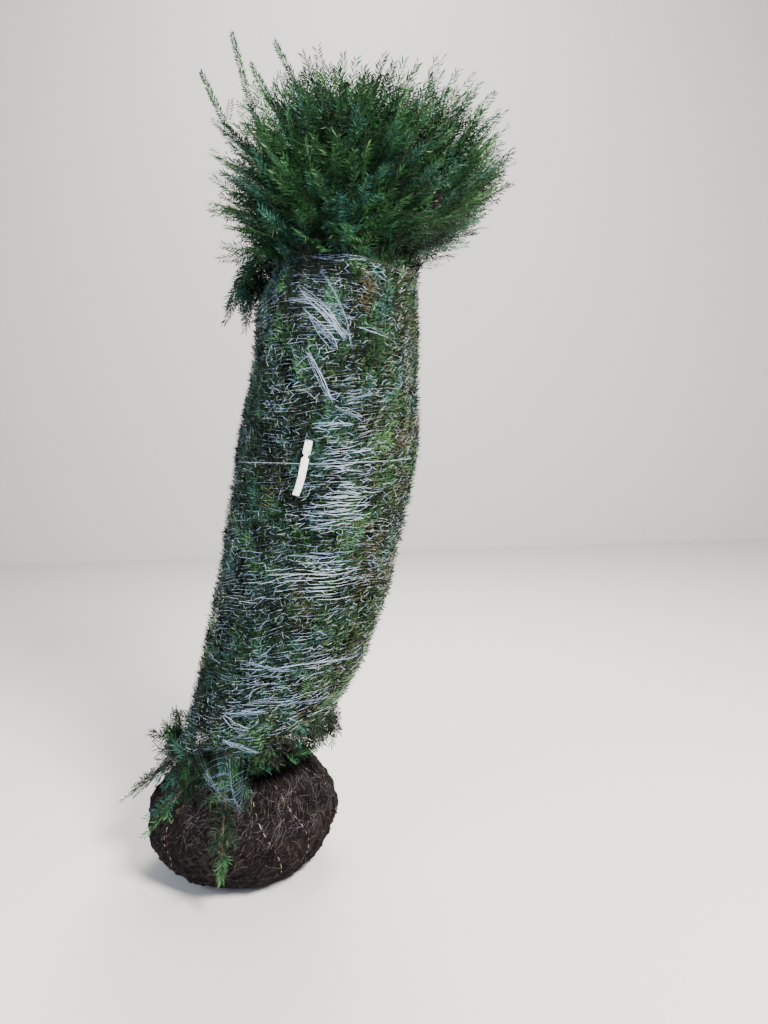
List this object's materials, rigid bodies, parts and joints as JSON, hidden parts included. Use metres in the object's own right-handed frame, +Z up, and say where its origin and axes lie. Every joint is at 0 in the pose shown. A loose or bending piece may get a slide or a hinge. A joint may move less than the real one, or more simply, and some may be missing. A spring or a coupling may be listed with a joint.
{
  "type": "netted yew tree with root ball",
  "caption": "Young yew dug up for planting: trunk and boughs in a leaning column of foliage wrapped in stretch net, an open crown, and a jute-wrapped root ball.",
  "frame": {"origin": "centre of the root ball's flat underside, on which the plant stands", "axes": "+Z up, along the plant's height; -Y is the front, the side with the label; the column leans towards +X"},
  "size_m": [1.2381, 0.749, 2.466],
  "materials": {
    "earth": "matte",
    "bark": "matte",
    "needles": "satin",
    "net": "satin",
    "label": "satin"
  },
  "bodies": {
    "root": {"root_ball": "earth", "trunk": "bark", "bough_column_low_1": "bark", "column_low_1": "needles", "bough_column_low_2": "bark", "column_low_2": "needles", "bough_column_low_3": "bark", "column_low_3": "needles", "bough_column_middle_1": "bark", "column_middle_1": "needles", "bough_column_middle_2": "bark", "column_middle_2": "needles", "bough_column_middle_3": "bark", "column_middle_3": "needles", "bough_column_high_1": "bark", "column_high_1": "needles", "bough_column_high_2": "bark", "column_high_2": "needles", "bough_column_high_3": "bark", "column_high_3": "needles", "bough_crown_right": "bark", "crown_right": "needles", "bough_crown_back_right": "bark", "crown_back_right": "needles", "bough_crown_back_left": "bark", "crown_back_left": "needles", "bough_crown_left": "bark", "crown_left": "needles", "bough_crown_front_left": "bark", "crown_front_left": "needles", "bough_crown_front_right": "bark", "crown_front_right": "needles", "bough_crown_inner_back": "bark", "crown_inner_back": "needles", "bough_crown_inner_left": "bark", "crown_inner_left": "needles", "bough_crown_inner_right": "bark", "crown_inner_right": "needles", "bough_skirt_left": "bark", "skirt_left": "needles", "bough_skirt_front_left": "bark", "skirt_front_left": "needles", "bough_skirt_front": "bark", "skirt_front": "needles", "bough_skirt_front_right": "bark", "skirt_front_right": "needles", "bough_skirt_right": "bark", "skirt_right": "needles", "bough_skirt_back_right": "bark", "skirt_back_right": "needles", "bough_skirt_back_left": "bark", "skirt_back_left": "needles", "net_wrap": "net", "plant_label": "label"}
  },
  "joints": []
}
